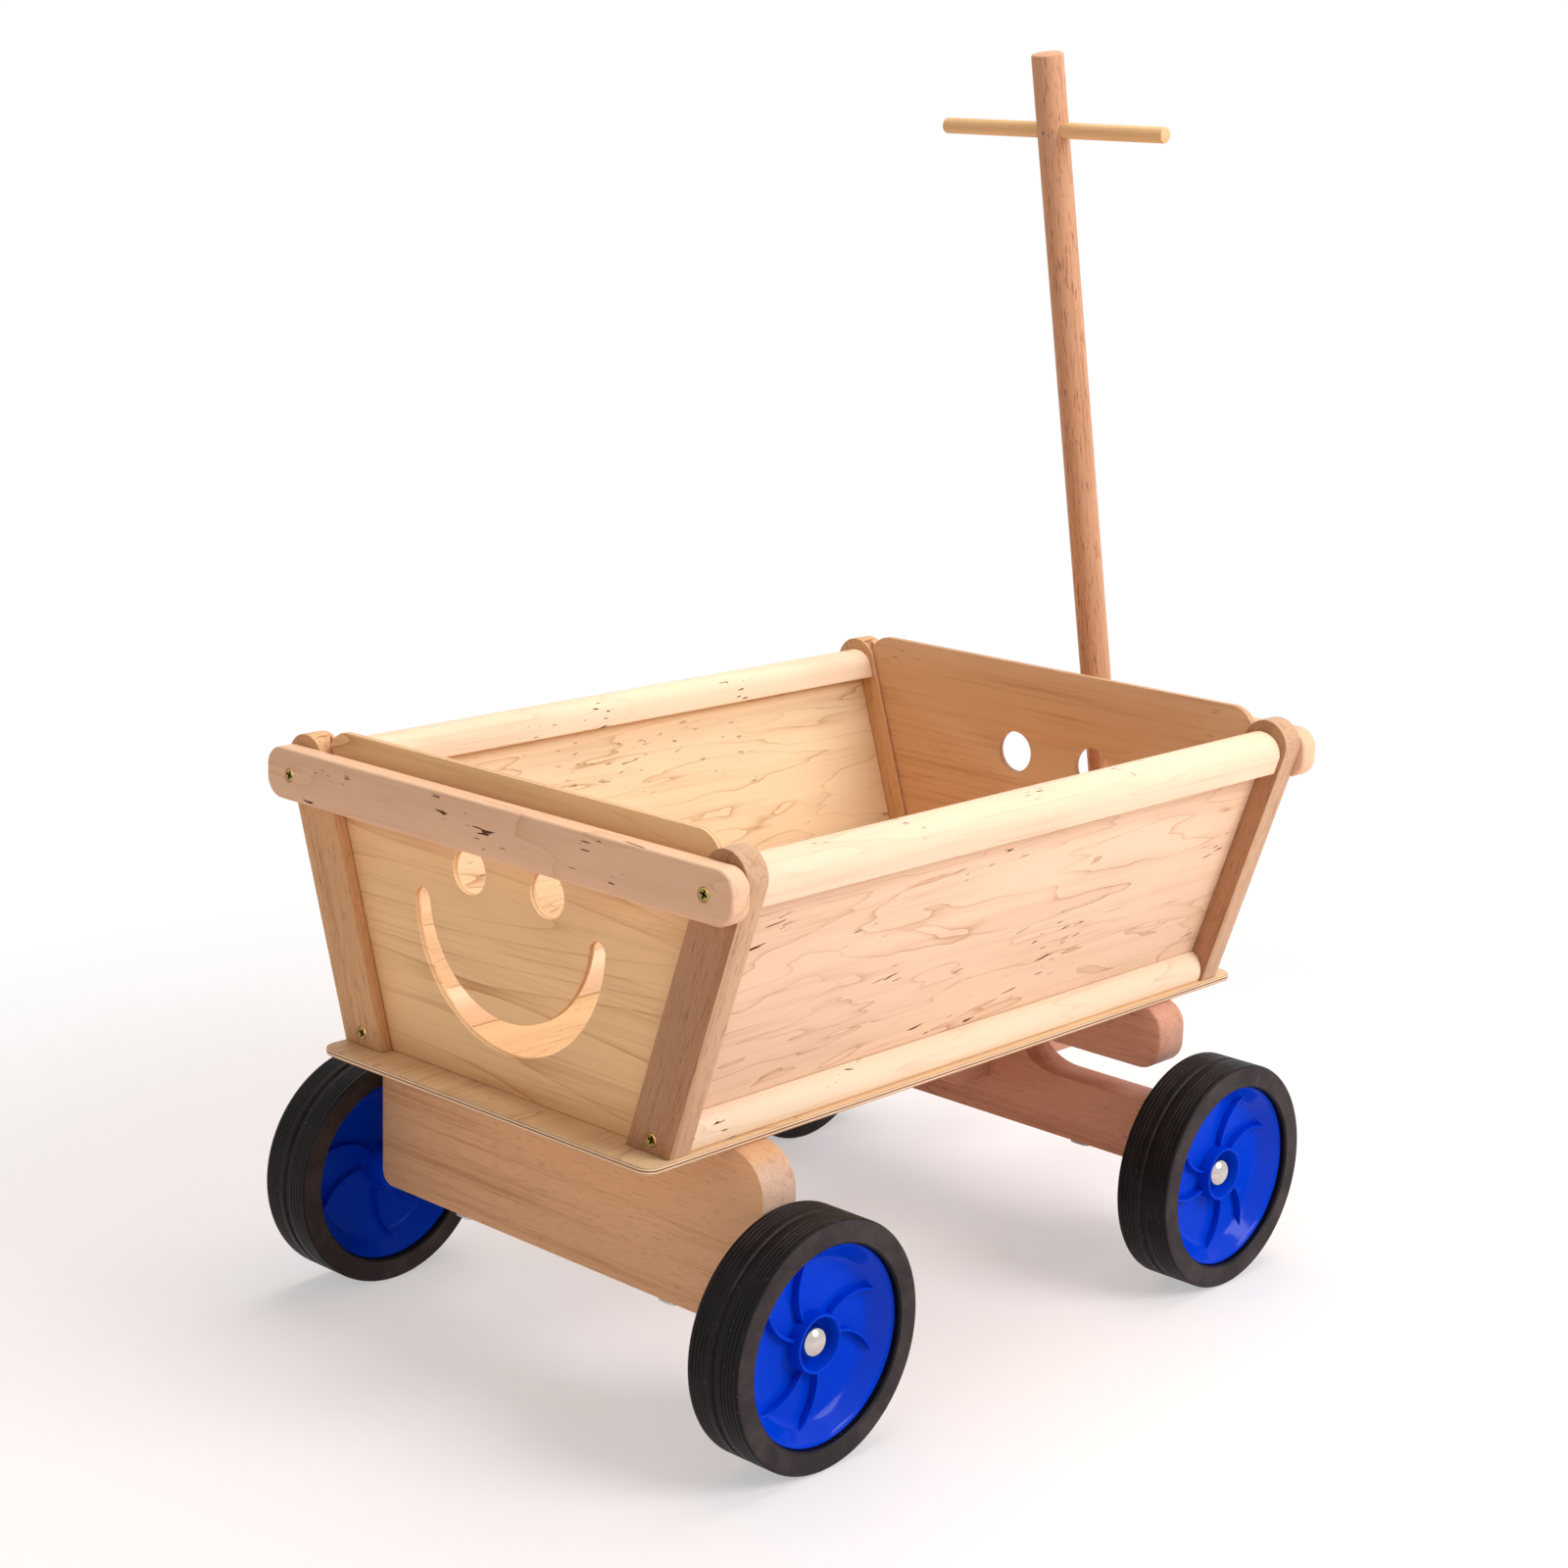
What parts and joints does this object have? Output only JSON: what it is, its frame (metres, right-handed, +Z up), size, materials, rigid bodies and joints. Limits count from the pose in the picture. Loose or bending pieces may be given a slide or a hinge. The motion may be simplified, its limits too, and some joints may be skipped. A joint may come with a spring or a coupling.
{
  "type": "pull-along hand cart",
  "caption": "Child's wooden hand cart: splayed plywood box with a smile cut through its rear end, blue-centred wheels, swivelling front axle and a tilting drawbar with cross handle.",
  "frame": {"origin": "on the ground, under the middle of the overall length and width", "axes": "+X forwards to the drawbar end, +Y to the cart's left, +Z up"},
  "size_m": [0.845, 0.553, 1.045],
  "materials": {
    "birch": "clear lacquered plywood",
    "pale_birch": "clear lacquered",
    "beech": "clear lacquered",
    "rubber": "matte",
    "blue": "gloss",
    "chrome": "polished",
    "yellow_zinc": "yellow zinc plated",
    "steel": "zinc plated"
  },
  "bodies": {
    "cart_box": {"corner_post_front_left": "beech", "corner_post_front_right": "beech", "corner_post_rear_left": "beech", "corner_post_rear_right": "beech", "floor_plate": "birch", "foot_screw_front_left": "yellow_zinc", "foot_screw_front_right": "yellow_zinc", "foot_screw_rear_left": "yellow_zinc", "foot_screw_rear_right": "yellow_zinc", "front_bolster": "beech", "front_end_panel": "birch", "front_end_rail": "pale_birch", "kingpin_bolt": "steel", "kingpin_nut": "steel", "kingpin_washer": "steel", "rail_screw_front_left": "yellow_zinc", "rail_screw_front_right": "yellow_zinc", "rail_screw_rear_left": "yellow_zinc", "rail_screw_rear_right": "yellow_zinc", "rear_axle_beam": "beech", "rear_axle_cap_left": "chrome", "rear_axle_cap_right": "chrome", "rear_axle_rod": "steel", "rear_axle_strap_left": "steel", "rear_axle_strap_right": "steel", "rear_end_panel": "birch", "rear_end_rail": "pale_birch", "side_foot_rail_left": "pale_birch", "side_foot_rail_right": "pale_birch", "side_panel_left": "birch", "side_panel_right": "birch", "side_top_rail_left": "pale_birch", "side_top_rail_right": "pale_birch"},
    "bogie": {"steering_beam": "beech", "turning_plate": "steel", "front_axle_rod": "steel", "front_axle_strap_left": "steel", "front_axle_strap_right": "steel", "front_axle_cap_left": "chrome", "front_axle_cap_right": "chrome", "drawbar_tongue": "beech", "fork_cheek_left": "steel", "fork_cheek_right": "steel", "fork_rivet_1": "steel", "fork_rivet_2": "steel", "pivot_bolt": "steel", "pivot_nut": "steel"},
    "drawbar": {"drawbar_rod": "beech", "drawbar_crossbar": "beech"},
    "wheel_rear_left": {"tyre_rear_left": "rubber", "wheel_rim_rear_left": "blue"},
    "wheel_rear_right": {"tyre_rear_right": "rubber", "wheel_rim_rear_right": "blue"},
    "wheel_front_left": {"tyre_front_left": "rubber", "wheel_rim_front_left": "blue"},
    "wheel_front_right": {"tyre_front_right": "rubber", "wheel_rim_front_right": "blue"}
  },
  "joints": [
    {"name": "steering_swivel", "type": "hinge", "parent": "cart_box", "child": "bogie", "pos_m": [0.2055, 0, 0.18], "axis": [0, 0, 1], "range_deg": [-25, 25]},
    {"name": "drawbar_swing", "type": "hinge", "parent": "bogie", "child": "drawbar", "pos_m": [0.4075, 0, 0.148], "axis": [0, 1, 0], "range_deg": [0, 105]},
    {"name": "wheel_rear_left_roll", "type": "hinge", "parent": "cart_box", "child": "wheel_rear_left", "pos_m": [-0.3145, 0.2505, 0.09937], "axis": [0, 1, 0], "continuous": true},
    {"name": "wheel_rear_right_roll", "type": "hinge", "parent": "cart_box", "child": "wheel_rear_right", "pos_m": [-0.3145, -0.2505, 0.09937], "axis": [0, 1, 0], "continuous": true},
    {"name": "wheel_front_left_roll", "type": "hinge", "parent": "bogie", "child": "wheel_front_left", "pos_m": [0.2055, 0.2505, 0.09937], "axis": [0, 1, 0], "continuous": true},
    {"name": "wheel_front_right_roll", "type": "hinge", "parent": "bogie", "child": "wheel_front_right", "pos_m": [0.2055, -0.2505, 0.09937], "axis": [0, 1, 0], "continuous": true}
  ]
}
